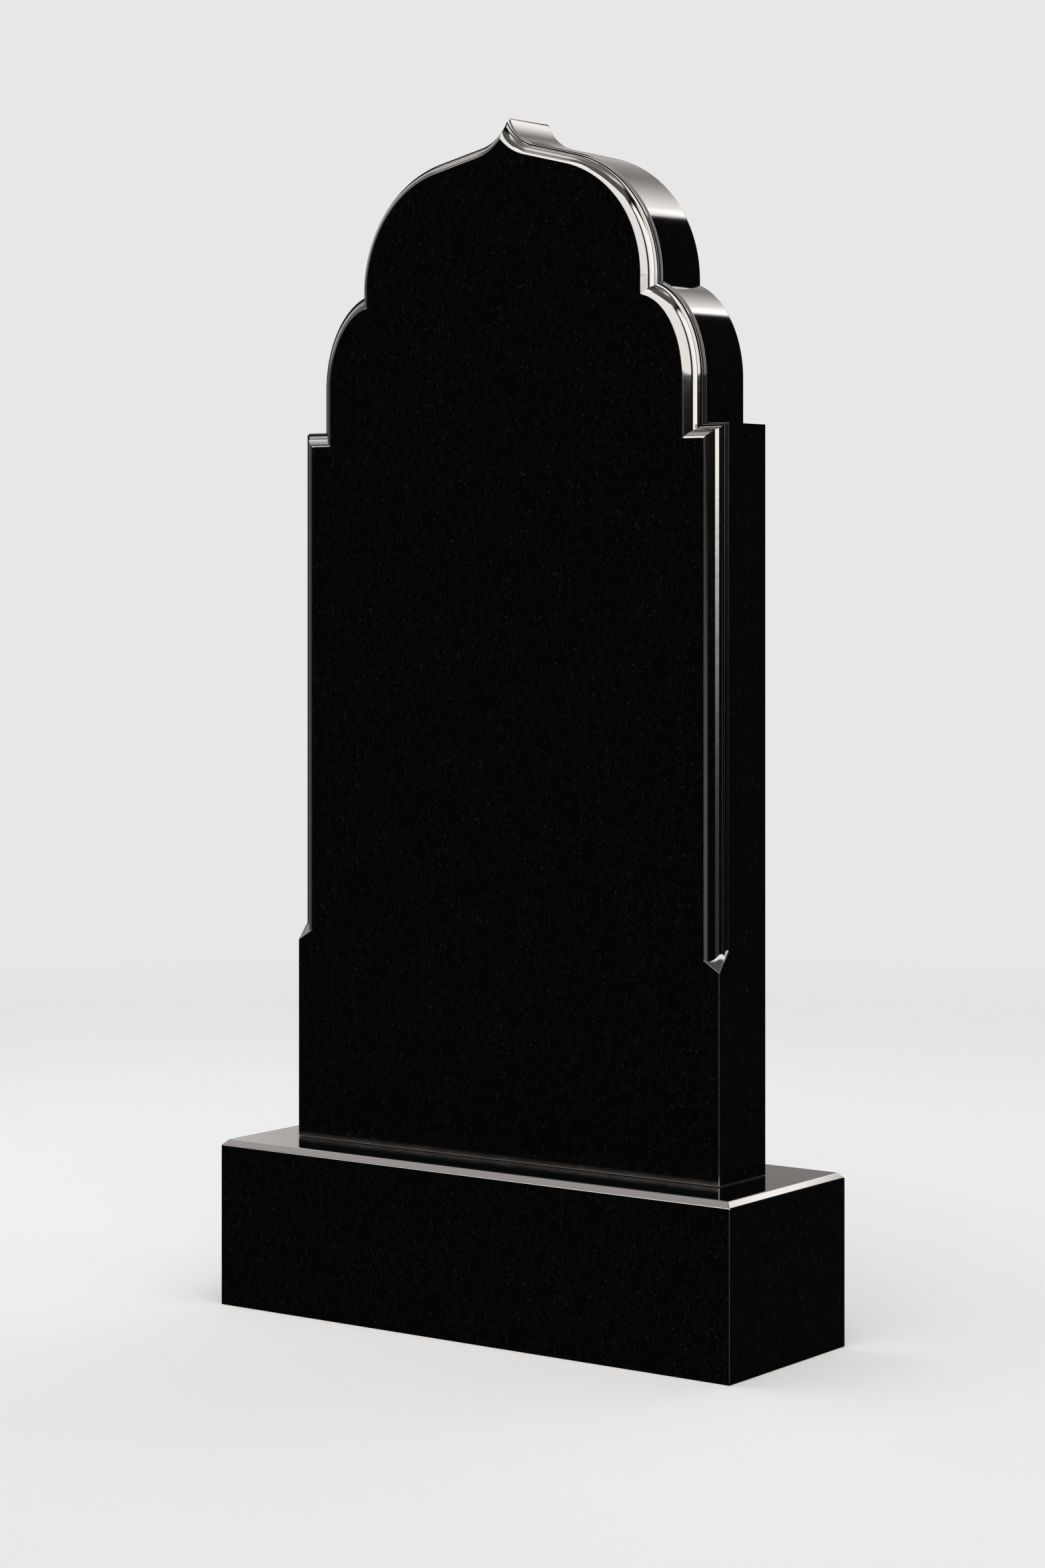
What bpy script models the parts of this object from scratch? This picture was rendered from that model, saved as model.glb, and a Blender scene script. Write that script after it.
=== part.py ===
"""Polished granite headstone: an upright slab with a moulded onion-dome head, standing on a plain base block.

Metres, +Z up. The carved front looks along -Y, +X is to the right of someone facing it, and the origin is
the middle of the base block's underside. Run it with blender --background --python part.py
"""

from math import acos, asin, cos, pi, radians, sin, tan

import bmesh
import bpy

# Upright slab
SLAB_WIDTH = 0.500
SLAB_THICKNESS = 0.080
SLAB_HEIGHT = 1.000

# Head of the slab: a level ledge on each shoulder, a lobe above it, then the dome and its pointed tip
LEDGE_WIDTH = 0.0245
LOBE_STRAIGHT = 0.043
LOBE_REACH = 0.070
LOBE_RISE = 0.095
LOBE_SHELF = 0.0485
DOME_ABOVE_LEDGE = 0.138
DOME_CENTRE_OFFSET = 0.052
DOME_TURN = radians(76.5)
TIP_RADIUS = 0.0438
TIP_TURN = radians(68)

# Moulding cut round the slab's front edge, narrower on the head than down the sides
MOULDING_DEPTH = 0.016
SIDE_MOULDING = 0.0176
LEDGE_MOULDING = 0.0144
LOBE_MOULDING = 0.0165
DOME_MOULDING = 0.0145
TIP_MOULDING = 0.0115

# Section of the moulding, as shares of its width inwards from the side and of its depth behind the face
FILLET_SHARE = 0.10
STEP_DEPTH_SHARE = 0.73
COVE_START_SHARE = 0.225
BEND_SHARE = 0.38
BEND_DEPTH_SHARE = 0.59

# How far the section's curves turn away from facing forward
COVE_TILT = radians(8)
BEND_TILT = radians(72)
FACE_TILT = radians(10)

# Slanted stops that end the moulding on both sides, each pointing down along the slab's edge
STOP_HEIGHT = 0.196
STOP_FRONT_RISE = 0.011
STOP_SIDE_RISE = 0.019

# Base block, which stands out past the slab on every side
BASE_HEIGHT = 0.164
BASE_SIDE_MARGIN = 0.050
BASE_FRONT_MARGIN = 0.060
BASE_CHAMFER = 0.0055
BASE_ARRIS = 0.0015
JOINT_GAP = 0.0003

# Straight pieces that stand for each round stretch
LOBE_STEPS = 14
DOME_STEPS = 20
TIP_STEPS = 8
COVE_STEPS = 4
ROLL_STEPS = 9

# Polished black granite
GRANITE_COLOUR = (0.006, 0.006, 0.007, 1.0)
GRANITE_ROUGHNESS = 0.08

# Places on the slab, measured from its middle line and its foot
HALF_WIDTH = SLAB_WIDTH / 2
HALF_THICKNESS = SLAB_THICKNESS / 2
LOBE_SIDE = HALF_WIDTH - LEDGE_WIDTH
LOBE_CENTRE_X = LOBE_SIDE - LOBE_REACH
DOME_SIDE = LOBE_SIDE - LOBE_SHELF
DOME_RADIUS = DOME_SIDE - DOME_CENTRE_OFFSET
CROWN_SLOPE = pi / 2 - DOME_TURN
TIP_CENTRE_X = TIP_RADIUS * sin(TIP_TURN)
TIP_CENTRE_Z = SLAB_HEIGHT + TIP_RADIUS * cos(TIP_TURN)
CROWN_RUN = DOME_CENTRE_OFFSET + DOME_RADIUS * cos(DOME_TURN) - TIP_CENTRE_X + TIP_RADIUS * sin(CROWN_SLOPE)
DOME_END_Z = TIP_CENTRE_Z - TIP_RADIUS * cos(CROWN_SLOPE) - CROWN_RUN * tan(CROWN_SLOPE)
DOME_CENTRE_Z = DOME_END_Z - DOME_RADIUS * sin(DOME_TURN)
LEDGE_Z = DOME_CENTRE_Z - DOME_ABOVE_LEDGE
LOBE_CENTRE_Z = LEDGE_Z + LOBE_STRAIGHT
SLAB_FOOT_Z = BASE_HEIGHT + JOINT_GAP


def clear_scene():
    """Removes whatever the file holds at the start."""
    for thing in list(bpy.data.objects):
        bpy.data.objects.remove(thing)


def granite():
    """The one stone that both pieces are cut from."""
    material = bpy.data.materials.new("black_granite")
    material.use_nodes = True
    shader = material.node_tree.nodes["Principled BSDF"]
    shader.inputs["Base Color"].default_value = GRANITE_COLOUR
    shader.inputs["Roughness"].default_value = GRANITE_ROUGHNESS
    shader.inputs["Metallic"].default_value = 0.0
    return material


def half_outline(share):
    """Right half of the slab's outline from the ledge to the tip, drawn in by a share of the moulding's width.

    The lobe is part of an ellipse that ends at the dome's upright side. The dome is an arc that narrows its
    moulding as it climbs, and a straight run joins it to the hollow arc that sweeps up to the tip.
    """
    side = HALF_WIDTH - share * SIDE_MOULDING
    ledge = LEDGE_Z - share * LEDGE_MOULDING
    lobe_inset = share * LOBE_MOULDING
    points = [(side, ledge), (LOBE_SIDE - lobe_inset, ledge)]

    across = LOBE_REACH - lobe_inset
    upward = LOBE_RISE - lobe_inset
    lobe_end = acos((DOME_SIDE - share * DOME_MOULDING - LOBE_CENTRE_X) / across)
    for step in range(LOBE_STEPS + 1):
        angle = lobe_end * step / LOBE_STEPS
        points.append((LOBE_CENTRE_X + across * cos(angle), LOBE_CENTRE_Z + upward * sin(angle)))

    for step in range(DOME_STEPS + 1):
        climbed = step / DOME_STEPS
        width = DOME_MOULDING + (TIP_MOULDING - DOME_MOULDING) * climbed
        radius = DOME_RADIUS - share * width
        angle = DOME_TURN * climbed
        points.append((DOME_CENTRE_OFFSET + radius * cos(angle), DOME_CENTRE_Z + radius * sin(angle)))

    radius = TIP_RADIUS + share * TIP_MOULDING
    tip_end = asin(TIP_CENTRE_X / radius)
    for step in range(TIP_STEPS):
        angle = CROWN_SLOPE + (tip_end - CROWN_SLOPE) * step / TIP_STEPS
        points.append((TIP_CENTRE_X - radius * sin(angle), TIP_CENTRE_Z - radius * cos(angle)))
    points.append((0.0, TIP_CENTRE_Z - radius * cos(tip_end)))
    return points


def turn(start, end, first_tilt, last_tilt, steps):
    """Points of a smooth curve on the section, from start to end, while its tilt turns from first to last."""
    points = []
    for step in range(steps + 1):
        tilt = first_tilt + (last_tilt - first_tilt) * step / steps
        inwards = (sin(tilt) - sin(first_tilt)) / (sin(last_tilt) - sin(first_tilt))
        upwards = (cos(tilt) - cos(first_tilt)) / (cos(last_tilt) - cos(first_tilt))
        points.append((start[0] + (end[0] - start[0]) * inwards, start[1] + (end[1] - start[1]) * upwards))
    return points


def moulding_section():
    """Section of the moulding from the slab's side to its face, as (share of width, share of depth).

    A small fillet, a step up from it, a level shelf, then an ogee: a cove that steepens into a roll, which
    eases out to the face and meets it in a faint edge.
    """
    shelf = (COVE_START_SHARE, STEP_DEPTH_SHARE)
    bend = (BEND_SHARE, BEND_DEPTH_SHARE)
    fillet_and_step = [(0.0, 1.0), (FILLET_SHARE, 1.0), (FILLET_SHARE, STEP_DEPTH_SHARE)]
    cove = turn(shelf, bend, COVE_TILT, BEND_TILT, COVE_STEPS)
    roll = turn(bend, (1.0, 0.0), BEND_TILT, FACE_TILT, ROLL_STEPS)
    return fillet_and_step + cove + roll[1:]


def place_line(mesh, share, depth, foot):
    """Adds one line of points over the head, from the right side's foot to the left side's, and returns it."""
    right = [(HALF_WIDTH - share * SIDE_MOULDING, foot)] + half_outline(share)
    left = [(-x, z) for x, z in reversed(right[:-1])]
    y = depth - HALF_THICKNESS
    return [mesh.verts.new((x, y, SLAB_FOOT_Z + z)) for x, z in right + left]


def join_lines(mesh, first, second):
    """Fills the strip between two lines of as many points with four-sided faces."""
    for index in range(len(first) - 1):
        mesh.faces.new((first[index], first[index + 1], second[index + 1], second[index]))


def build_slab(stone):
    """The upright slab, cut from one piece: plain back and sides, moulded front edge, plain lower part."""
    mesh = bmesh.new()
    back = place_line(mesh, 0.0, SLAB_THICKNESS, 0.0)
    lines = []
    for share, depth in moulding_section():
        stop = STOP_HEIGHT + STOP_FRONT_RISE * share + STOP_SIDE_RISE * depth
        lines.append(place_line(mesh, share, depth * MOULDING_DEPTH, stop))
    join_lines(mesh, back, lines[0])
    for outer, inner in zip(lines, lines[1:]):
        join_lines(mesh, outer, inner)

    corners = {}
    for end, side in ((0, 1), (-1, -1)):
        foot = mesh.verts.new((side * HALF_WIDTH, -HALF_THICKNESS, SLAB_FOOT_Z))
        tip = mesh.verts.new((side * HALF_WIDTH, -HALF_THICKNESS, SLAB_FOOT_Z + STOP_HEIGHT))
        mesh.faces.new((foot, tip, lines[0][end], back[end]))
        mesh.faces.new([tip] + [line[end] for line in reversed(lines)])
        corners[side] = (foot, tip)

    right_foot, right_tip = corners[1]
    left_foot, left_tip = corners[-1]
    mesh.faces.new([left_foot, right_foot, right_tip] + lines[-1] + [left_tip])
    mesh.faces.new(back)
    mesh.faces.new((right_foot, left_foot, back[-1], back[0]))
    return finish_piece(mesh, "slab", stone)


def rectangle(mesh, half_width, half_depth, height):
    """Adds a level rectangle whose corners are cut off by the arris, and returns its eight points."""
    short_width = half_width - BASE_ARRIS
    short_depth = half_depth - BASE_ARRIS
    corners = (
        (half_width, -short_depth), (half_width, short_depth), (short_width, half_depth),
        (-short_width, half_depth), (-half_width, short_depth), (-half_width, -short_depth),
        (-short_width, -half_depth), (short_width, -half_depth),
    )
    return [mesh.verts.new((x, y, height)) for x, y in corners]


def build_base(stone):
    """The base block: four upright faces, a chamfer round the top and narrow arrises on the corners."""
    half_width = HALF_WIDTH + BASE_SIDE_MARGIN
    half_depth = HALF_THICKNESS + BASE_FRONT_MARGIN
    mesh = bmesh.new()
    rings = (
        rectangle(mesh, half_width, half_depth, 0.0),
        rectangle(mesh, half_width, half_depth, BASE_HEIGHT - BASE_CHAMFER),
        rectangle(mesh, half_width - BASE_CHAMFER, half_depth - BASE_CHAMFER, BASE_HEIGHT),
    )
    for lower, upper in zip(rings, rings[1:]):
        join_lines(mesh, lower + lower[:1], upper + upper[:1])
    mesh.faces.new(rings[0])
    mesh.faces.new(rings[-1])
    return finish_piece(mesh, "base_block", stone)


def finish_piece(mesh, name, stone):
    """Turns all faces outwards and places the piece in the scene under its name, in its stone."""
    bmesh.ops.recalc_face_normals(mesh, faces=mesh.faces)
    data = bpy.data.meshes.new(name)
    mesh.to_mesh(data)
    mesh.free()
    data.materials.append(stone)
    data.shade_smooth()
    data.set_sharp_from_angle(angle=radians(28))
    piece = bpy.data.objects.new(name, data)
    bpy.context.scene.collection.objects.link(piece)
    return piece


def main():
    clear_scene()
    stone = granite()
    build_base(stone)
    build_slab(stone)


main()
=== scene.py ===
"""Looks of the black granite headstone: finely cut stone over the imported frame, its polish, and the studio.

Metres, in the frame's own axes: +Z up, the moulded front looks along -Y, and the origin lies under the
middle of the base block.
"""

from __future__ import annotations

import logging
from dataclasses import dataclass, field
from enum import Enum
from math import cos, pi, radians, sin, tan
from typing import Any, Iterable, Sequence, Union

import bmesh
import bpy
import numpy as np
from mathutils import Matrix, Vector


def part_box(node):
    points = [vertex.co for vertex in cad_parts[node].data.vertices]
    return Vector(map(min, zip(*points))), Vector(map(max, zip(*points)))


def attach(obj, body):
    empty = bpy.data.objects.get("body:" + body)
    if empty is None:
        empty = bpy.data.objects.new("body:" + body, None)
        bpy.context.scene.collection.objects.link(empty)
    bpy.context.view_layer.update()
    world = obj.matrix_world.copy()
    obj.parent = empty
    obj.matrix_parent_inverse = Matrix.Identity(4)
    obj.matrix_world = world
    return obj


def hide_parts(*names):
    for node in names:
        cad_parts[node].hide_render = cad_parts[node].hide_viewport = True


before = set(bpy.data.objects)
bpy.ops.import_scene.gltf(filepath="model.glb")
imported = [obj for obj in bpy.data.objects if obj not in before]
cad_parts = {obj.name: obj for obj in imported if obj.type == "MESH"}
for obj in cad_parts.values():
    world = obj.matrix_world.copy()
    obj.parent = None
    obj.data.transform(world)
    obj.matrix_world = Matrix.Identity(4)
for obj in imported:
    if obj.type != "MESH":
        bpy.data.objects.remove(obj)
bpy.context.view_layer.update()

log = logging.getLogger("headstone")

Number = Union[int, float]
Colour = tuple[float, float, float, float]
Band = tuple[float, float]
Triple = tuple[float, float, float]

BODY = "root"
STONE_SLOT = "black_granite"

# A short way along a straight edge, where only the edge's direction counts
ALONG = 0.01
# Power of a lamp in watts for each square metre of it and each unit of radiance
LAMP_POWER = 4.0


class Mark(Enum):
    """Places that are finished in their own way, each kept as a value from 0 to 1 on the mesh."""

    ARRIS = "arris"
    HONED = "honed"
    SAWN = "sawn"
    WORKED = "worked"


# Shader maths


class Wire:
    """A value inside a node tree: adding, multiplying and so on adds the Math nodes for it."""

    def __init__(self, maker: "NodeMaker", socket: bpy.types.NodeSocket) -> None:
        """Wraps a socket.

        Args:
            maker: what adds nodes to the socket's tree.
            socket: the output that carries the value.
        """
        self.maker = maker
        self.socket = socket

    def _math(self, operation: str, first: Any, second: Any = 0.0) -> "Wire":
        """One Math node on two values."""
        return self.maker.node("ShaderNodeMath", {"operation": operation}, {0: first, 1: second})

    def __add__(self, other: Any) -> "Wire":
        """Sum."""
        return self._math("ADD", self, other)

    __radd__ = __add__

    def __sub__(self, other: Any) -> "Wire":
        """Difference."""
        return self._math("SUBTRACT", self, other)

    def __rsub__(self, other: Any) -> "Wire":
        """Difference, the other way round."""
        return self._math("SUBTRACT", other, self)

    def __mul__(self, other: Any) -> "Wire":
        """Product."""
        return self._math("MULTIPLY", self, other)

    __rmul__ = __mul__

    def __pow__(self, other: Any) -> "Wire":
        """Power."""
        return self._math("POWER", self, other)

    def __rpow__(self, other: Any) -> "Wire":
        """Power, the other way round."""
        return self._math("POWER", other, self)

    def above(self, low: Number, high: Number) -> "Wire":
        """A smooth step from 0 at low to 1 at high.

        Args:
            low: where the step starts.
            high: where it ends.

        Returns:
            The step's value, from 0 to 1.
        """
        settings = {"interpolation_type": "SMOOTHSTEP"}
        return self.maker.node("ShaderNodeMapRange", settings, {0: self, 1: low, 2: high, 3: 0.0, 4: 1.0})

    def ramp(self, low: Any, high: Any) -> "Wire":
        """A straight ramp from 0 at low to 1 at high."""
        return self.maker.node("ShaderNodeMapRange", None, {0: self, 1: low, 2: high, 3: 0.0, 4: 1.0})


class NodeMaker:
    """Adds nodes to one material's or light's tree."""

    def __init__(self, tree: bpy.types.NodeTree) -> None:
        """Starts with an empty tree.

        Args:
            tree: the tree that the nodes go into.
        """
        self.tree = tree
        self.tree.nodes.clear()

    def node(self, kind: str, settings: dict[str, Any] | None = None,
             inputs: dict[Any, Any] | None = None, output: Any = 0) -> Wire:
        """Adds a node, sets it up, then fills its sockets.

        Args:
            kind: the node's type.
            settings: its own options, which are set first.
            inputs: a value or a wire for each socket, by name or number.
            output: the name or number of the output that is returned.

        Returns:
            The chosen output.
        """
        made = self.tree.nodes.new(kind)
        for name, value in (settings or {}).items():
            setattr(made, name, value)
        for name, value in (inputs or {}).items():
            if isinstance(value, Wire):
                self.tree.links.new(value.socket, made.inputs[name])
            else:
                made.inputs[name].default_value = value
        return Wire(self, made.outputs[output])

    def end(self, kind: str, surface: Wire) -> None:
        """Adds the tree's output node and joins the finished shader to it.

        Args:
            kind: the output node's type.
            surface: the shader.
        """
        self.tree.links.new(surface.socket, self.tree.nodes.new(kind).inputs["Surface"])

    def place(self) -> Wire:
        """The point on the surface, in the object's own metres."""
        return self.node("ShaderNodeTexCoord", output="Object")

    def mark(self, mark: Mark) -> Wire:
        """The value that the mesh keeps for one kind of finish."""
        return self.node("ShaderNodeAttribute", {"attribute_name": mark.value}, output="Fac")

    def stretch(self, place: Wire, scale: Sequence[float], turn: Sequence[float] = (0.0, 0.0, 0.0)) -> Wire:
        """Turns and stretches a pattern's coordinates.

        Args:
            place: the coordinates.
            scale: how much each axis is multiplied.
            turn: angles about the three axes.

        Returns:
            The new coordinates.
        """
        inputs = {"Vector": place, "Scale": tuple(scale), "Rotation": tuple(turn)}
        return self.node("ShaderNodeMapping", None, inputs)

    def noise(self, place: Wire, scale: float, detail: float = 2.0, roughness: float = 0.5) -> Wire:
        """Soft noise from 0 to 1."""
        inputs = {"Vector": place, "Scale": scale, "Detail": detail, "Roughness": roughness}
        return self.node("ShaderNodeTexNoise", None, inputs, "Fac")

    def crystals(self, place: Wire, scale: float) -> Wire:
        """A random value from 0 to 1 for each crystal of a packed mass of them."""
        inputs = {"Vector": place, "Scale": scale}
        cells = self.node("ShaderNodeTexVoronoi", {"feature": "F1"}, inputs, "Color")
        return self.node("ShaderNodeSeparateColor", None, {0: cells})

    def blend(self, share: Any, first: Any, second: Any) -> Wire:
        """A colour between two, by a share from 0 to 1."""
        settings = {"data_type": "RGBA", "clamp_factor": True, "clamp_result": False}
        return self.node("ShaderNodeMix", settings, {0: share, 6: first, 7: second}, 2)


# Finishes


@dataclass(frozen=True)
class GraniteFinish:
    """Fine-grained black granite: packed dark crystals, paler needles between them, a few bright specks.

    A scale is how many repeats go into a metre, and a detail how many finer layers lie over them. A band is
    where a smooth step starts and ends: in a crystal's random value, in metres above the slab's foot for
    foot_line_start, and in metres behind its front for front_edge. A share is how much of a colour is laid
    over those before it. Heights and widths are in metres.
    """

    name: str = STONE_SLOT
    ground: Colour = (0.0008, 0.0008, 0.0009, 1.0)
    crystal: Colour = (0.0030, 0.0030, 0.0032, 1.0)
    needle: Colour = (0.0085, 0.0086, 0.0088, 1.0)
    speck: Colour = (0.0300, 0.0290, 0.0270, 1.0)
    arris: Colour = (0.0300, 0.0290, 0.0280, 1.0)
    # Pale colour of the line round the slab's foot: a bedding line, and with it a painted reflection of the
    # base in the polish
    bedding_and_base_reflection: Colour = (0.1150, 0.0980, 0.0840, 1.0)
    honed: Colour = (0.0400, 0.0405, 0.0420, 1.0)
    sawn: Colour = (0.1500, 0.1510, 0.1540, 1.0)
    crystal_scale: float = 950.0
    crystal_band: Band = (0.45, 0.95)
    needle_scale: float = 620.0
    needle_band: Band = (0.78, 0.97)
    needle_stretch: Triple = (1.0, 2.6, 0.45)
    needle_turn: Triple = (0.7, 0.4, 1.1)
    needle_share: float = 0.45
    speck_scale: float = 640.0
    speck_band: Band = (0.985, 0.995)
    speck_share: float = 0.4
    cloud_scale: float = 9.0
    cloud_detail: float = 3.0
    cloud_gain: float = 0.9
    cloud_floor: float = 0.35
    crystal_part: float = 0.5
    needle_part: float = 0.5
    honed_grain: float = 0.45
    honed_floor: float = 0.40
    arris_share: float = 0.35
    sawn_grain: float = 0.30
    sawn_floor: float = 0.65
    smear_scale: float = 14.0
    smear_detail: float = 4.0
    smear_roughness: float = 0.6
    polish: float = 0.045
    polish_smear: float = 0.022
    polish_grain: float = 0.010
    arris_dulling: float = 0.16
    honed_roughness: float = 0.34
    honed_smear: float = 0.05
    sawn_roughness: float = 0.72
    foot_line_dulling: float = 0.5
    swirl_scale: float = 46.0
    swirl_height: float = 0.00006
    pore_scale: float = 1500.0
    honed_pores: float = 0.00002
    sawn_pores: float = 0.00006
    cut_stretch: Triple = (6.0, 900.0, 6.0)
    cut_height: float = 0.00018
    refraction: float = 1.52
    foot_line_front: float = 0.0042
    foot_line_side: float = 0.0014
    foot_line_start: Band = (-0.0002, -0.0001)
    front_edge: Band = (0.0006, 0.0030)
    wander_scale: float = 60.0
    wander_detail: float = 3.0
    wander_reach: float = 0.0006
    wander_gain: float = 0.30
    wander_floor: float = 0.16

    def material(self) -> bpy.types.Material:
        """Builds the stone.

        Returns:
            The material, which reads Object coordinates and the mesh's marks.
        """
        stone = bpy.data.materials.new(self.name)
        stone.use_nodes = True
        make = NodeMaker(stone.node_tree)
        place = make.place()
        arris = make.mark(Mark.ARRIS)
        honed = make.mark(Mark.HONED)
        sawn = make.mark(Mark.SAWN)
        worked = make.mark(Mark.WORKED)

        crystal = make.crystals(place, self.crystal_scale).above(*self.crystal_band)
        laths = make.stretch(place, self.needle_stretch, self.needle_turn)
        needle = make.crystals(laths, self.needle_scale).above(*self.needle_band)
        speck = make.crystals(place, self.speck_scale).above(*self.speck_band)
        cloud = make.noise(place, self.cloud_scale, self.cloud_detail)

        shown = crystal * (cloud * self.cloud_gain + self.cloud_floor)
        colour = make.blend(shown, self.ground, self.crystal)
        colour = make.blend(needle * self.needle_share, colour, self.needle)
        colour = make.blend(speck * self.speck_share, colour, self.speck)
        grain = crystal * self.crystal_part + needle * self.needle_part
        colour = make.blend(honed * (grain * self.honed_grain + self.honed_floor), colour, self.honed)
        colour = make.blend(arris * self.arris_share, colour, self.arris)
        colour = make.blend(sawn * (grain * self.sawn_grain + self.sawn_floor), colour, self.sawn)
        # Painted reflection of the base along the slab's foot, laid on as a pale bedding line
        painted_foot_line = self.painted_foot_line(make, place)
        colour = make.blend(painted_foot_line, colour, self.bedding_and_base_reflection)

        smears = make.noise(place, self.smear_scale, self.smear_detail, self.smear_roughness)
        roughness = self.polish + smears * self.polish_smear + grain * self.polish_grain
        roughness = roughness + arris * self.arris_dulling
        roughness = roughness + honed * (self.honed_roughness - self.polish + smears * self.honed_smear)
        roughness = roughness + sawn * (self.sawn_roughness - self.polish) + painted_foot_line * self.foot_line_dulling

        swirl = make.noise(place, self.swirl_scale) * worked * self.swirl_height
        pores = make.noise(place, self.pore_scale) * (honed * self.honed_pores + sawn * self.sawn_pores)
        cuts = make.noise(make.stretch(place, self.cut_stretch), 1.0) * sawn * self.cut_height
        relief = swirl + pores + cuts
        bump = make.node("ShaderNodeBump", None, {"Strength": 1.0, "Distance": 1.0, "Height": relief})

        shader = make.node("ShaderNodeBsdfPrincipled", None, {
            "Base Color": colour, "Roughness": roughness, "IOR": self.refraction, "Normal": bump,
        })
        make.end("ShaderNodeOutputMaterial", shader)
        return stone

    def painted_foot_line(self, make: NodeMaker, place: Wire) -> Wire:
        """Where a pale, dull line is painted round the slab's foot: a bedding line, and with it a painted
        reflection of the base in the polish.

        It fades upwards, and is broader along the slab's front than along its sides and back.

        Args:
            make: the stone's node maker.
            place: the point on the surface.

        Returns:
            The line's share, from 0 to 1.
        """
        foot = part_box("slab")[0]
        y = make.node("ShaderNodeSeparateXYZ", None, {0: place}, 1)
        z = make.node("ShaderNodeSeparateXYZ", None, {0: place}, 2)
        wander = make.noise(place, self.wander_scale, self.wander_detail)
        along_front = 1 - y.above(*(foot.y + edge for edge in self.front_edge))
        reach = along_front * self.foot_line_front + self.foot_line_side + wander * self.wander_reach
        above_base = z.above(*(foot.z + start for start in self.foot_line_start))
        faded = 1 - (z - foot.z).ramp(0.0, reach)
        return above_base * faded * (wander * self.wander_gain + self.wander_floor)


@dataclass(frozen=True)
class FloorFinish:
    """Pale matt studio floor that fades out towards its rim, so that no edge shows."""

    name: str = "studio_floor"
    colour: Colour = (0.80, 0.80, 0.80, 1.0)
    shade: Colour = (0.76, 0.76, 0.765, 1.0)
    tone_scale: float = 1.4
    tone_detail: float = 3.0
    roughness: float = 0.9
    specular: float = 0.1
    fade_start: float = 1.1
    fade_end: float = 3.4

    def material(self) -> bpy.types.Material:
        """Builds the floor's matt paint, mixed with nothing towards the rim."""
        paint = bpy.data.materials.new(self.name)
        paint.use_nodes = True
        make = NodeMaker(paint.node_tree)
        place = make.place()
        tone = make.noise(place, self.tone_scale, self.tone_detail)
        tone = make.blend(tone, self.shade, self.colour)
        reach = make.node("ShaderNodeVectorMath", {"operation": "LENGTH"}, {0: place}, "Value")
        gone = reach.above(self.fade_start, self.fade_end)
        matt = make.node("ShaderNodeBsdfPrincipled", None, {
            "Base Color": tone, "Roughness": self.roughness, "Specular IOR Level": self.specular,
        })
        clear = make.node("ShaderNodeBsdfTransparent")
        both = make.node("ShaderNodeMixShader", None, {0: gone, 1: matt, 2: clear})
        make.end("ShaderNodeOutputMaterial", both)
        return paint


# Meshes


@dataclass
class Shell:
    """A closed surface, gathered as blocks of points and the faces between them."""

    points: list[np.ndarray] = field(default_factory=list)
    marks: list[np.ndarray] = field(default_factory=list)
    faces: list[list[int]] = field(default_factory=list)
    creases: list[np.ndarray] = field(default_factory=list)
    count: int = 0

    def add(self, x: np.ndarray, y: np.ndarray, z: np.ndarray, **marks: Any) -> np.ndarray:
        """Adds a block of points, of any shape.

        Args:
            x, y, z: the places, which are spread out to one shape.
            marks: values from 0 to 1 by the names of Mark, spread out likewise.

        Returns:
            The points' numbers, in the block's shape.
        """
        x, y, z = np.broadcast_arrays(x, y, z)
        self.points.append(np.stack([x, y, z], -1).reshape(-1, 3))
        values = [np.broadcast_to(marks.get(mark.value, 0.0), x.shape).ravel() for mark in Mark]
        self.marks.append(np.stack(values, -1))
        numbers = np.arange(self.count, self.count + x.size).reshape(x.shape)
        self.count += x.size
        return numbers

    def skin(self, grid: np.ndarray) -> None:
        """Fills a grid of point numbers with four-sided faces.

        Args:
            grid: the numbers, in rows and columns.
        """
        corners = (grid[:-1, :-1], grid[:-1, 1:], grid[1:, 1:], grid[1:, :-1])
        self.faces += np.stack([corner.ravel() for corner in corners], -1).tolist()

    def tube(self, rings: np.ndarray) -> None:
        """Fills rings of point numbers, one a row, with four-sided faces all the way round."""
        self.skin(np.concatenate([rings, rings[:, :1]], 1))

    def cap(self, ring: Iterable[np.ndarray]) -> None:
        """Fills one flat face whose rim is made of the given runs of point numbers."""
        self.faces.append(np.concatenate([np.atleast_1d(run) for run in ring]).tolist())

    def crease(self, line: np.ndarray) -> None:
        """Keeps the edges along a run of point numbers sharp."""
        self.creases.append(np.stack([line[:-1], line[1:]], -1))

    def piece(self, name: str, stone: bpy.types.Material) -> bpy.types.Object:
        """Makes the object, with its faces outwards, shaded smoothly between its creases.

        Args:
            name: the piece's name.
            stone: its material.

        Returns:
            The object, at the origin.
        """
        mesh = bpy.data.meshes.new(name)
        mesh.from_pydata(np.concatenate(self.points), [], self.faces)
        values = np.concatenate(self.marks).astype(np.float32)
        for column, mark in enumerate(Mark):
            layer = mesh.attributes.new(mark.value, "FLOAT", "POINT")
            layer.data.foreach_set("value", np.ascontiguousarray(values[:, column]))
        ends = np.zeros(len(mesh.edges) * 2, np.int64)
        mesh.edges.foreach_get("vertices", ends)
        ends = np.sort(ends.reshape(-1, 2), axis=1)
        kept = np.sort(np.concatenate(self.creases or [np.zeros((0, 2), np.int64)]), axis=1)
        sharp = np.isin(ends[:, 0] * self.count + ends[:, 1], kept[:, 0] * self.count + kept[:, 1])
        mesh.attributes.new("sharp_edge", "BOOLEAN", "EDGE").data.foreach_set("value", sharp)

        work = bmesh.new()
        work.from_mesh(mesh)
        bmesh.ops.recalc_face_normals(work, faces=work.faces)
        work.to_mesh(mesh)
        work.free()
        mesh.shade_smooth()
        mesh.materials.append(stone)
        made = bpy.data.objects.new(name, mesh)
        bpy.context.scene.collection.objects.link(made)
        return made


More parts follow.
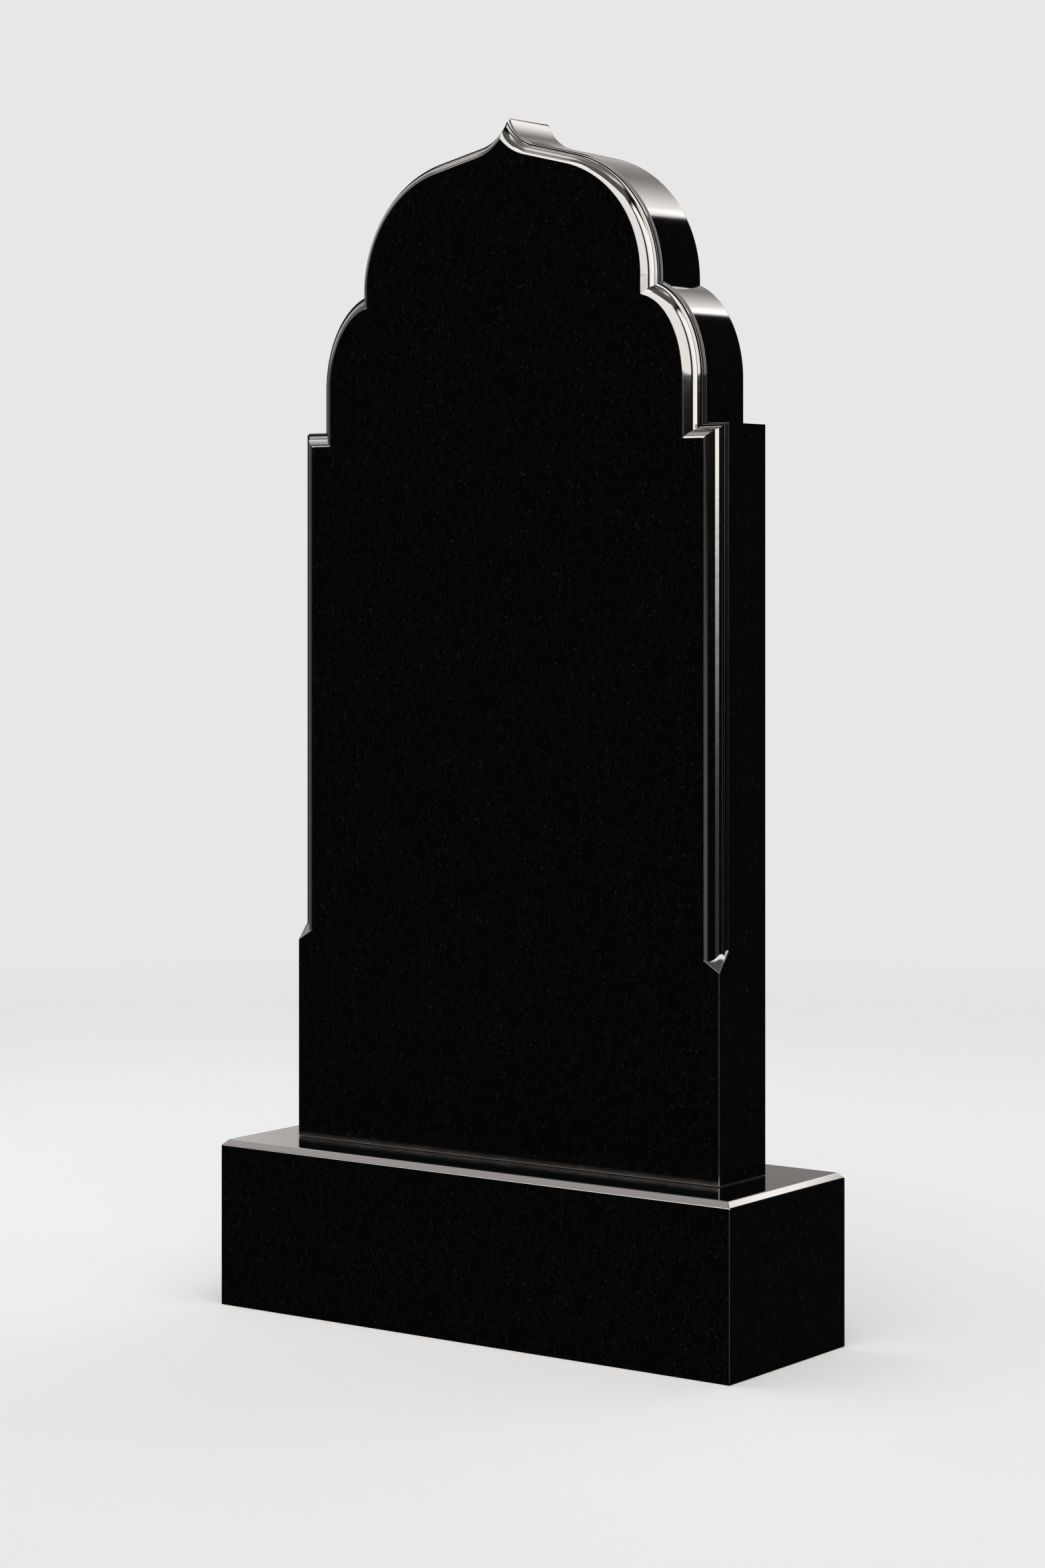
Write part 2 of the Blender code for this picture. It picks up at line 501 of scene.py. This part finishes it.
@dataclass(frozen=True)
class Softening:
    """How a sharp corner of a line is eased: a short curve with a flat support on either side of it.

    Reach is how far from the corner the curve starts and ends, and the flat supports lie support times as
    far off.
    """

    reach: float
    steps: int = 4
    support: float = 1.6

    def corner(self, before: np.ndarray, corner: np.ndarray,
               after: np.ndarray) -> tuple[np.ndarray, np.ndarray]:
        """Eases one corner with the curve (1-t)^2 start + 2t(1-t) corner + t^2 end, as t goes from 0 to 1.

        Start and end lie at the reach from the corner. The mark is 4t(1-t), which is 1 in the middle.

        Args:
            before: the point that the line comes from.
            corner: the corner itself.
            after: the point that the line goes on to.

        Returns:
            The points along the eased corner, and for each how far it is on the arris, from 0 to 1.
        """
        back = (before - corner) / np.linalg.norm(before - corner)
        on = (after - corner) / np.linalg.norm(after - corner)
        t = np.linspace(0.0, 1.0, self.steps + 1)[:, None]
        start, end = corner + back * self.reach, corner + on * self.reach
        curve = (1 - t) ** 2 * start + 2 * t * (1 - t) * corner + t**2 * end
        first, last = corner + back * self.reach * self.support, corner + on * self.reach * self.support
        line = np.concatenate([first[None], curve, last[None]])
        return line, np.concatenate([[0.0], (4 * t * (1 - t)).ravel(), [0.0]])


@dataclass(frozen=True)
class Moulding:
    """The moulding's section: shares of its width inwards from the side, and of its depth behind the face.

    A fillet, a step, a shelf, a cove and a roll follow one another. Two more rows keep the stone beside the
    curves flat: one lies on the shelf, shelf_support before the cove, and one on the face, at face_support.
    """

    depth: float = 0.016
    fillet: float = 0.10
    step_depth: float = 0.73
    cove_start: float = 0.225
    bend: tuple[float, float] = (0.38, 0.59)
    cove_tilt: float = radians(38)
    bend_tilt: float = radians(72)
    face_tilt: float = radians(10)
    cove_steps: int = 12
    roll_steps: int = 20
    easing: float = 0.012
    shelf_support: float = 0.03
    face_support: float = 1.02

    def turn(self, start: tuple[float, float], end: tuple[float, float],
             first: float, last: float, steps: int) -> np.ndarray:
        """A smooth curve whose tilt t turns evenly: inwards it goes as sin t, and upwards as cos t.

        Args:
            start: its first point, as shares.
            end: its last point.
            first: the tilt at the start.
            last: the tilt at the end.
            steps: how many straight pieces stand for it.

        Returns:
            The points, one a row.
        """
        tilt = np.linspace(first, last, steps + 1)
        inwards = (np.sin(tilt) - sin(first)) / (sin(last) - sin(first))
        upwards = (np.cos(tilt) - cos(first)) / (cos(last) - cos(first))
        across = start[0] + (end[0] - start[0]) * inwards
        return np.stack([across, start[1] + (end[1] - start[1]) * upwards], -1)

    def cove_row(self) -> int:
        """The row where the shelf meets the cove, after three eased corners and the shelf's support."""
        return 3 * (Softening(self.easing).steps + 3) + 1

    def rows(self) -> tuple[np.ndarray, np.ndarray]:
        """The whole section from the slab's side to its face.

        It starts and ends with a flat support outside the moulding, on the side and on the face.

        Returns:
            The share of the width and the share of the depth of each row.
        """
        shelf_end = (self.cove_start, self.step_depth)
        corners = np.array([(0.0, 1.0 + ALONG), (0.0, 1.0), (self.fillet, 1.0),
                            (self.fillet, self.step_depth), shelf_end])
        ease = Softening(self.easing)
        lines = [ease.corner(*corners[place - 1:place + 2])[0] for place in (1, 2, 3)]
        shelf = corners[4] - (self.shelf_support, 0.0)
        cove = self.turn(shelf_end, self.bend, self.cove_tilt, self.bend_tilt, self.cove_steps)
        roll = self.turn(self.bend, (1.0, 0.0), self.bend_tilt, self.face_tilt, self.roll_steps)
        lines += [shelf[None], cove, roll[1:], np.array([(self.face_support, 0.0)])]
        section = np.concatenate(lines)
        return section[:, 0], section[:, 1]


@dataclass
class Slab:
    """The upright slab with its ledges, lobes, dome and pointed tip, all from the part's own sizes."""

    name: str = "slab_stone"
    node: str = "slab"
    moulding: Moulding = field(default_factory=Moulding)
    ledge_width: float = 0.0245
    lobe_straight: float = 0.043
    lobe_reach: float = 0.070
    lobe_rise: float = 0.095
    lobe_shelf: float = 0.0485
    dome_above_ledge: float = 0.138
    dome_centre_offset: float = 0.052
    dome_turn: float = radians(76.5)
    tip_radius: float = 0.0438
    tip_turn: float = radians(68)
    side_width: float = 0.0176
    ledge_moulding: float = 0.0144
    lobe_width: float = 0.0165
    dome_width: float = 0.0145
    tip_width: float = 0.0115
    stop_height: float = 0.196
    stop_front_rise: float = 0.011
    stop_side_rise: float = 0.019
    stop_centre: float = 0.06
    stop_hollow: float = 0.030
    stop_rings: int = 9
    rear_easing: float = 0.0010
    corner_easing: float = 0.0006
    foot_easing: float = 0.0007
    side_steps: int = 24
    short_steps: int = 8
    lobe_steps: int = 48
    dome_steps: int = 110
    tip_steps: int = 28

    def __post_init__(self) -> None:
        """Takes the slab's own box from the frame, and works out where its round stretches lie."""
        low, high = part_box(self.node)
        self.half_width = (high.x - low.x) / 2
        self.front, self.back = low.y, high.y
        self.foot = low.z
        self.lobe_side = self.half_width - self.ledge_width
        self.lobe_x = self.lobe_side - self.lobe_reach
        self.dome_side = self.lobe_side - self.lobe_shelf
        self.dome_radius = self.dome_side - self.dome_centre_offset
        self.crown_slope = pi / 2 - self.dome_turn
        self.tip_x = self.tip_radius * sin(self.tip_turn)
        self.tip_z = high.z + self.tip_radius * cos(self.tip_turn)
        run = self.dome_centre_offset + self.dome_radius * cos(self.dome_turn)
        run += self.tip_radius * sin(self.crown_slope) - self.tip_x
        dome_end = self.tip_z - self.tip_radius * cos(self.crown_slope) - run * tan(self.crown_slope)
        self.dome_z = dome_end - self.dome_radius * sin(self.dome_turn)
        self.ledge_z = self.dome_z - self.dome_above_ledge
        self.lobe_z = self.ledge_z + self.lobe_straight

    def outline(self, share: np.ndarray, foot: np.ndarray) -> tuple[np.ndarray, np.ndarray, list[int]]:
        """The line over the head for each row of the section, drawn in by the row's share of the moulding.

        From the right side's foot it goes straight up to the ledge, in along the ledge and up to the lobe.
        The lobe is x = centre + a cos t, z = centre + b sin t, until it meets the dome's upright side. The
        dome is an arc whose radius shrinks by the share of a moulding that narrows as it climbs. A straight
        run follows, and a hollow arc round a point outside the slab climbs to the tip. The left half
        mirrors the right.

        Args:
            share: the rows' shares of the width.
            foot: the height at which each row starts.

        Returns:
            x and z, in rows and columns, and the columns where the outline has a corner.
        """
        share = share[:, None]
        level = np.ones_like(share)
        side = self.half_width - share * self.side_width
        ledge = self.ledge_z - share * self.ledge_moulding
        inner = self.lobe_side - share * self.lobe_width
        across = self.lobe_reach - share * self.lobe_width
        upward = self.lobe_rise - share * self.lobe_width
        dome_side = self.dome_side - share * self.dome_width
        lobe_end = np.arccos((dome_side - self.lobe_x) / across)
        short = np.arange(self.short_steps)[None] / self.short_steps
        xs, zs, corners = [], [], []

        def straight(x0: np.ndarray, z0: np.ndarray, x1: np.ndarray, z1: np.ndarray,
                     part: np.ndarray) -> None:
            """Adds a straight stretch, its end left to the next one."""
            xs.append(x0 + (x1 - x0) * part)
            zs.append(z0 + (z1 - z0) * part)

        def reached() -> int:
            """How many columns there are so far."""
            return sum(block.shape[1] for block in xs)

        straight(side, foot[:, None], side, ledge, np.arange(self.side_steps)[None] / self.side_steps)
        corners.append(reached())
        straight(side, ledge, inner, ledge, short)
        corners.append(reached())
        straight(inner, ledge, inner, self.lobe_z * level, short)
        turned = lobe_end * np.arange(self.lobe_steps)[None] / self.lobe_steps
        xs.append(self.lobe_x + across * np.cos(turned))
        zs.append(self.lobe_z + upward * np.sin(turned))
        corners.append(reached())
        straight(dome_side, self.lobe_z + upward * np.sin(lobe_end), dome_side, self.dome_z * level, short)

        climbed = np.arange(self.dome_steps + 1)[None] / self.dome_steps
        width = self.dome_width + (self.tip_width - self.dome_width) * climbed
        radius = self.dome_radius - share * width
        dome_x = self.dome_centre_offset + radius * np.cos(self.dome_turn * climbed)
        dome_z = self.dome_z + radius * np.sin(self.dome_turn * climbed)
        xs.append(dome_x[:, :-1])
        zs.append(dome_z[:, :-1])

        radius = self.tip_radius + share * self.tip_width
        tip_end = np.arcsin(self.tip_x / radius)
        part = np.arange(self.tip_steps)[None]
        turned = self.crown_slope + (tip_end - self.crown_slope) * part / self.tip_steps
        tip_x = self.tip_x - radius * np.sin(turned)
        tip_z = self.tip_z - radius * np.cos(turned)
        straight(dome_x[:, -1:], dome_z[:, -1:], tip_x[:, :1], tip_z[:, :1], short)
        xs.append(tip_x)
        zs.append(tip_z)

        x, z = np.concatenate(xs, 1), np.concatenate(zs, 1)
        apex = x.shape[1]
        corners = corners + [apex] + [2 * apex - corner for corner in corners]
        top = self.tip_z - radius * np.cos(tip_end)
        x = np.concatenate([x, 0 * level, -x[:, ::-1]], 1)
        z = np.concatenate([z, top, z[:, ::-1]], 1)
        return x, z, corners

    def stop_plane(self, x: np.ndarray, y: np.ndarray) -> np.ndarray:
        """Height of the slanted stop over a point: it rises inwards and backwards from the corner."""
        inwards = (self.half_width - np.abs(x)) / self.side_width
        backwards = (y - self.front) / self.moulding.depth
        rise = self.foot + self.stop_height + self.stop_front_rise * inwards
        return rise + self.stop_side_rise * backwards

    def rear_rows(self) -> tuple[np.ndarray, np.ndarray, np.ndarray]:
        """The eased rear arris row by row: its inset from the outline, its y and its mark."""
        corners = np.array([(ALONG, self.back), (0.0, self.back), (0.0, self.back - ALONG)])
        line, worn = Softening(self.rear_easing).corner(*corners)
        return line[:, 0], line[:, 1], worn

    def build(self, stone: bpy.types.Material) -> bpy.types.Object:
        """Builds the slab as one closed skin.

        Rows of the section run over the head; below the stops the front corners are plain eased arrises.

        Args:
            stone: the granite.

        Returns:
            The slab's object.
        """
        shell = Shell()
        floor_line = self.foot + self.foot_easing * Softening(self.foot_easing).support

        inset, y, worn = self.rear_rows()
        x, z, corners = self.outline(inset / self.side_width, np.full(len(inset), floor_line))
        honed = np.zeros(len(inset))
        # The first two rows lie on the honed back
        honed[:2] = 1.0
        rear = shell.add(x, y[:, None], z, arris=worn[:, None], honed=honed[:, None])

        share, depth = self.moulding.rows()
        y = self.front + depth * self.moulding.depth
        stops = self.stop_plane(self.half_width - share * self.side_width, y)
        x, z, corners = self.outline(share, stops)
        worked = np.ones(len(share))
        # The two rows at either end belong to the flat side and face
        worked[[0, 1, -2, -1]] = 0.0
        front = shell.add(x, y[:, None], z, worked=worked[:, None])
        shell.skin(np.concatenate([rear, front]))
        shell.crease(front[self.moulding.cove_row()])
        for column in corners:
            shell.crease(np.concatenate([rear[:, column], front[:, column]]))

        line, worn = Softening(self.corner_easing).corner(
            *np.array([(self.half_width, self.front + ALONG), (self.half_width, self.front),
                       (self.half_width - ALONG, self.front)]))
        strips = {}
        for end, way in ((0, 1.0), (-1, -1.0)):
            x, y = line[:, 0] * way, line[:, 1]
            z = np.stack([np.full(len(x), floor_line), self.stop_plane(x, y)])
            strip = shell.add(x, y, z, arris=worn)
            shell.skin(strip)
            shell.cap([rear[-1, end], strip[0, 0], strip[1, 0], front[1, end], front[0, end]])
            rim = np.concatenate([strip[1], front[1:-1, end][::-1], strip[1, :1]])
            shell.crease(rim)
            self.hollow_stop(shell, rim)
            strips[end] = strip
        shell.cap([strips[0][:, -1], front[-2, 0], front[-1], front[-2, -1], strips[-1][::-1, -1]])
        shell.cap([rear[0]])

        ring = np.concatenate([rear[:, 0], strips[0][0], strips[-1][0, ::-1], rear[::-1, -1]])
        self.close_foot(shell, ring)
        return shell.piece(self.name, stone)

    def hollow_stop(self, shell: Shell, rim: np.ndarray) -> None:
        """Closes a stop inside its rim with a shallow hollow, as the wheel leaves it.

        Rings shrink from the rim to a point by the slab's corner. Each sinks below the stop's plane by the
        depth times the share inwards, the square of the share backwards and what the ring has shrunk by.

        Args:
            shell: the skin so far.
            rim: the rim's point numbers, with the first one repeated at the end.
        """
        edge = np.concatenate(shell.points)[rim][:, :2]
        way = np.sign(edge[0, 0])
        middle = np.array([way * (self.half_width - self.stop_centre * self.side_width),
                           self.front + self.stop_centre * self.moulding.depth])
        kept = np.linspace(1.0, 0.0, self.stop_rings + 1)[1:-1, None, None]
        places = middle + (edge - middle) * kept
        inwards = (self.half_width - np.abs(places[..., 0])) / self.side_width
        backwards = (places[..., 1] - self.front) / self.moulding.depth
        sunk = self.stop_hollow * inwards * backwards**2 * (1 - kept[..., 0])
        z = self.stop_plane(places[..., 0], places[..., 1]) - sunk
        rings = shell.add(places[:, :-1, 0], places[:, :-1, 1], z[:, :-1], worked=1.0)
        shell.tube(np.concatenate([rim[None, :-1], rings]))
        shell.cap([rings[-1]])

    def close_foot(self, shell: Shell, ring: np.ndarray) -> None:
        """Eases the slab's bottom edge inwards and closes it underneath.

        Args:
            shell: the skin so far.
            ring: the point numbers round the slab just above its foot.
        """
        rim = np.concatenate(shell.points)[ring]
        line, worn = Softening(self.foot_easing).corner(
            *np.array([(0.0, self.foot + ALONG), (0.0, self.foot), (ALONG, self.foot)]))
        inset, height, worn = line[1:, :1], line[1:, 1:], worn[1:, None]
        x = rim[:, 0] - np.sign(rim[:, 0]) * inset
        y = rim[:, 1] - np.sign(rim[:, 1]) * inset
        # The last two rings lie on the sawn underside
        sawn = (np.arange(len(inset)) >= len(inset) - 2).astype(float)[:, None]
        rings = np.concatenate([ring[None], shell.add(x, y, height, arris=worn, sawn=sawn)])
        shell.tube(rings)
        shell.cap([rings[-1]])


@dataclass
class BaseBlock:
    """The plain block under the slab: upright faces, a chamfer round the top, lightly eased arrises.

    Flush is how near a point has to be to a face to count as on it.
    """

    name: str = "base_stone"
    node: str = "base_block"
    chamfer: float = 0.0055
    arris_reach: float = 0.0008
    corner_reach: float = 0.0009
    corner_steps: int = 6
    corner_wear: float = 0.45
    chamfer_wear: float = 0.3
    foot_reach: float = 0.0012
    flush: float = 1e-6

    def plan(self) -> tuple[np.ndarray, np.ndarray, np.ndarray, np.ndarray]:
        """The rectangle seen from above, each corner eased.

        Returns:
            x and y round the block, the arris mark, and 1 where the point is on the rear face.
        """
        low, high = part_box(self.node)
        corners = np.array([(high.x, low.y), (high.x, high.y), (low.x, high.y), (low.x, low.y)])
        ease = Softening(self.corner_reach, self.corner_steps)
        parts = [ease.corner(corners[place - 1], corners[place], corners[(place + 1) % 4])
                 for place in range(4)]
        line = np.concatenate([part[0] for part in parts])
        worn = np.concatenate([part[1] for part in parts])
        rear = (line[:, 1] > high.y - self.flush).astype(float)
        return line[:, 0], line[:, 1], worn, rear

    def rise(self) -> tuple[np.ndarray, np.ndarray, np.ndarray, np.ndarray, np.ndarray]:
        """The block's profile from under its bottom edge up to its top.

        Returns:
            The inset and height of each ring, its arris mark, 1 for the rings underneath, and 1 for those
            on the walls.
        """
        low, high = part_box(self.node)
        corners = np.array([(ALONG, low.z), (0.0, low.z), (0.0, high.z - self.chamfer),
                            (self.chamfer, high.z), (self.chamfer + ALONG, high.z)])
        parts = [Softening(reach).corner(*corners[place - 1:place + 2])
                 for place, reach in ((1, self.foot_reach), (2, self.arris_reach), (3, self.arris_reach))]
        line = np.concatenate([part[0] for part in parts])
        worn = np.concatenate([part[1] for part in parts])
        under = (line[:, 1] < low.z + self.flush).astype(float)
        wall = (line[:, 0] < self.flush).astype(float)
        return line[:, 0], line[:, 1], worn, under, wall

    def build(self, stone: bpy.types.Material) -> bpy.types.Object:
        """Builds the block: its plan carried up its profile, closed at both ends.

        Args:
            stone: the granite.

        Returns:
            The block's object.
        """
        x, y, turned, rear = self.plan()
        inset, z, worn, under, wall = (values[:, None] for values in self.rise())
        shell = Shell()
        arris = np.maximum(worn * self.chamfer_wear, turned * self.corner_wear * (1 - under))
        # The top face carries no wear, at its corners either
        arris[-1] = 0.0
        rings = shell.add(x - np.sign(x) * inset, y - np.sign(y) * inset, z,
                          arris=arris, sawn=under, honed=wall * rear)
        shell.tube(rings)
        shell.cap([rings[0]])
        shell.cap([rings[-1]])
        return shell.piece(self.name, stone)


# Studio


@dataclass(frozen=True)
class Softbox:
    """A flat lamp overhead that lights the floor and draws the soft shadow; the polish doesn't mirror it.

    Azimuth is counted in degrees from the front towards +X. Distance is measured from the point that the
    lamp aims at, and radiance is how bright its surface is.
    """

    name: str
    azimuth: float
    elevation: float
    distance: float
    width: float
    height: float
    radiance: float
    aim: Triple = (0.0, 0.0, 0.4)

    def build(self) -> bpy.types.Object:
        """Hangs the lamp.

        Returns:
            The lamp's object.
        """
        lamp = bpy.data.lights.new(self.name, "AREA")
        lamp.shape = "RECTANGLE"
        lamp.size, lamp.size_y = self.width, self.height
        lamp.energy = LAMP_POWER * self.width * self.height * self.radiance
        turn, climb = radians(self.azimuth), radians(self.elevation)
        away = Vector((sin(turn) * cos(climb), -cos(turn) * cos(climb), sin(climb)))
        made = bpy.data.objects.new(self.name, lamp)
        made.location = Vector(self.aim) + away * self.distance
        made.rotation_mode = "QUATERNION"
        made.rotation_quaternion = away.to_track_quat("Z", "Y")
        made.visible_camera = False
        made.visible_glossy = False
        bpy.context.scene.collection.objects.link(made)
        return made


@dataclass(frozen=True)
class Panel:
    """A lit panel far off in the studio that the polish mirrors, given by the directions that it fills.

    Azimuth is the middle, in degrees from the front towards +X, and reach is how far it goes either way.
    Low and high are the elevations of its edges; soft and side_soft are how far the level and the upright
    edges blur. Lower_blur, where it isn't 0, is how far below the lower edge the light starts, and the light
    then grows as a ramp to the power blur_power. Fall dims the panel from its first side to its last: what is
    kept is one less the fall times the share of the way across, to the power fall_power.
    """

    azimuth: float
    reach: float
    low: float
    high: float
    radiance: float
    soft: float = 3.0
    side_soft: float = 3.0
    lower_blur: float = 0.0
    fall: float = 0.0
    tint: Triple = (1.0, 0.95, 0.91)
    blur_power: float = 4.0
    fall_power: float = 2.0

    def glow(self, make: NodeMaker, x: Wire, y: Wire, climb: Wire) -> Wire:
        """Its light along a direction.

        The share of the panel is a smooth step in the angle off its middle, times one below its upper edge,
        times a step or a ramp at its lower edge, times what its fall keeps.

        Args:
            make: the world's node maker.
            x: the direction's part towards +X.
            y: its part towards +Y.
            climb: its elevation in radians.

        Returns:
            The light as a colour.
        """
        middle = radians(self.azimuth)
        ahead = x * sin(middle) - y * cos(middle)
        aside = x * cos(middle) + y * sin(middle)
        off = make.node("ShaderNodeMath", {"operation": "ARCTAN2"}, {0: aside, 1: ahead})
        crossed = off.ramp(radians(-self.reach), radians(self.reach))
        kept = (1 - crossed * self.fall) ** self.fall_power
        off = make.node("ShaderNodeMath", {"operation": "ABSOLUTE"}, {0: off})
        within = 1 - off.above(radians(self.reach - self.side_soft), radians(self.reach + self.side_soft))
        below = 1 - climb.above(radians(self.high - self.soft), radians(self.high + self.soft))
        if self.lower_blur:
            over = climb.ramp(radians(self.low - self.lower_blur), radians(self.low))
            over = over**self.blur_power
        else:
            over = climb.above(radians(self.low - self.soft), radians(self.low + self.soft))
        share = within * below * over * kept * self.radiance
        return make.node("ShaderNodeVectorMath", {"operation": "SCALE"}, {0: self.tint, "Scale": share})


@dataclass
class Studio:
    """Pale floor, pale surroundings, the lamps over it and the panels that the polish mirrors.

    A lamp's numbers are its azimuth, elevation, distance, width, height and radiance, and a panel's are its
    azimuth, reach, low and high edge and radiance. Dark is how bright the polish sees the rest of the
    studio.
    """

    backdrop: float = 0.80
    ambient: float = 0.55
    dark: float = 0.012
    floor_radius: float = 7.0
    floor_sides: int = 96
    floor_rings: int = 24
    floor_spread: float = 1.5
    lamps: tuple[Softbox, ...] = (
        Softbox("key_box", 40.0, 62.0, 3.4, 2.2, 2.2, 1.5),
        Softbox("left_box", -80.0, 58.0, 3.4, 2.2, 2.2, 1.5),
        Softbox("rear_box", 170.0, 60.0, 3.4, 2.2, 2.2, 1.2),
    )
    panels: tuple[Panel, ...] = (
        Panel(99.0, 19.0, 1.3, 56.0, 20.0, lower_blur=8.3, tint=(1.0, 0.93, 0.87)),
        Panel(99.0, 19.0, -9.0, 0.0, 0.55),
        Panel(21.0, 44.0, 3.9, 48.0, 18.0, soft=0.6, side_soft=4.0),
        Panel(21.0, 44.0, 48.0, 64.2, 18.0, soft=2.0, side_soft=4.0),
        Panel(-34.0, 11.0, 14.5, 69.0, 18.0, soft=2.5, side_soft=4.0),
        Panel(-93.0, 47.0, 41.0, 66.0, 5.0, side_soft=6.0),
        Panel(-93.0, 47.0, 8.0, 41.0, 1.4, side_soft=6.0),
        Panel(178.0, 20.0, 30.8, 72.0, 11.0, soft=0.6, side_soft=1.0, fall=1.0),
        Panel(174.0, 7.0, 25.0, 32.2, 3.5, soft=0.8, side_soft=1.5),
        Panel(201.0, 35.0, 14.0, 72.0, 0.75, side_soft=1.0),
        Panel(2.0, 18.0, -20.0, -0.5, 1.5),
        Panel(-6.0, 10.0, -0.5, 7.0, 0.9),
        Panel(-96.0, 40.0, -14.0, 8.0, 0.4),
        Panel(216.0, 18.0, 3.0, 14.0, 0.45),
        Panel(0.0, 200.0, 61.0, 96.0, 1.5),
    )

    def build(self) -> None:
        """Lays the floor and sets the lights."""
        self.lay_floor()
        self.set_world()
        for lamp in self.lamps:
            lamp.build()
            log.info("lamp %s: %.1f x %.1f m", lamp.name, lamp.width, lamp.height)
        bpy.context.scene.view_settings.view_transform = "Standard"

    def lay_floor(self) -> bpy.types.Object:
        """A round disc under the stone, whose rings lie further apart towards its rim.

        A ring's radius is the floor's times the ring's share of the way out, to the power floor_spread.

        Returns:
            The floor's object.
        """
        turn = np.linspace(0.0, 2 * pi, self.floor_sides + 1)[None, :-1]
        out = np.linspace(0.0, 1.0, self.floor_rings + 1)[1:, None]
        radius = out**self.floor_spread * self.floor_radius
        shell = Shell()
        rings = shell.add(radius * np.cos(turn), radius * np.sin(turn), np.zeros_like(radius * turn))
        shell.tube(rings)
        shell.cap([rings[0]])
        floor = shell.piece("floor", FloorFinish().material())
        floor.visible_glossy = False
        return floor

    def set_world(self) -> None:
        """A pale backdrop for the camera, even light on matt surfaces, and the panels for the polish."""
        world = bpy.data.worlds.new("studio")
        world.use_nodes = True
        bpy.context.scene.world = world
        make = NodeMaker(world.node_tree)
        way = make.node("ShaderNodeTexCoord", output="Generated")
        way = make.node("ShaderNodeVectorMath", {"operation": "NORMALIZE"}, {0: way})
        x, y, z = (make.node("ShaderNodeSeparateXYZ", None, {0: way}, axis) for axis in range(3))
        climb = make.node("ShaderNodeMath", {"operation": "ARCSINE"}, {0: z})
        light = make.node("ShaderNodeCombineXYZ", None, {axis: self.dark for axis in range(3)})
        for panel in self.panels:
            glow = panel.glow(make, x, y, climb)
            light = make.node("ShaderNodeVectorMath", {"operation": "ADD"}, {0: light, 1: glow})
        even = tuple([self.ambient] * 3 + [1.0])
        pale = tuple([self.backdrop] * 3 + [1.0])
        light = make.blend(make.node("ShaderNodeLightPath", output="Is Glossy Ray"), even, light)
        light = make.blend(make.node("ShaderNodeLightPath", output="Is Camera Ray"), light, pale)
        sky = make.node("ShaderNodeBackground", None, {"Color": light, "Strength": 1.0})
        make.end("ShaderNodeOutputWorld", sky)


@dataclass(frozen=True)
class ViewCamera:
    """The photograph's viewpoint: level, from the front right, with the horizon above the middle.

    Looks is how far the view is turned from straight ahead, and the horizon's row is counted from the top.
    """

    place: Triple = (2.035, -2.798, 0.739)
    looks: float = radians(36.06)
    focal_pixels: float = 5366.0
    picture_height: float = 2352.0
    horizon_row: float = 841.0
    sensor: float = 36.0

    def build(self) -> bpy.types.Object:
        """Sets up the camera and makes it the scene's own.

        Returns:
            The camera's object.
        """
        lens = bpy.data.cameras.new("view")
        lens.sensor_width = self.sensor
        lens.lens = self.focal_pixels / self.picture_height * self.sensor
        lens.shift_y = (self.horizon_row - self.picture_height / 2) / self.picture_height
        camera = bpy.data.objects.new("view", lens)
        camera.location = self.place
        camera.rotation_euler = (pi / 2, 0.0, self.looks)
        bpy.context.scene.collection.objects.link(camera)
        bpy.context.scene.camera = camera
        return camera


def report_piece(piece: bpy.types.Object) -> None:
    """Logs a piece's name and how many triangles it has."""
    piece.data.calc_loop_triangles()
    log.info("piece %s: %d triangles", piece.name, len(piece.data.loop_triangles))


def main() -> None:
    """Builds the stone's pieces in order, then the studio and the camera."""
    logging.basicConfig(level=logging.INFO, format="%(name)s: %(message)s")
    stone = GraniteFinish().material()
    for part in (BaseBlock(), Slab()):
        piece = part.build(stone)
        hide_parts(part.node)
        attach(piece, BODY)
        report_piece(piece)
    Studio().build()
    ViewCamera().build()


if __name__ == "__main__":
    main()
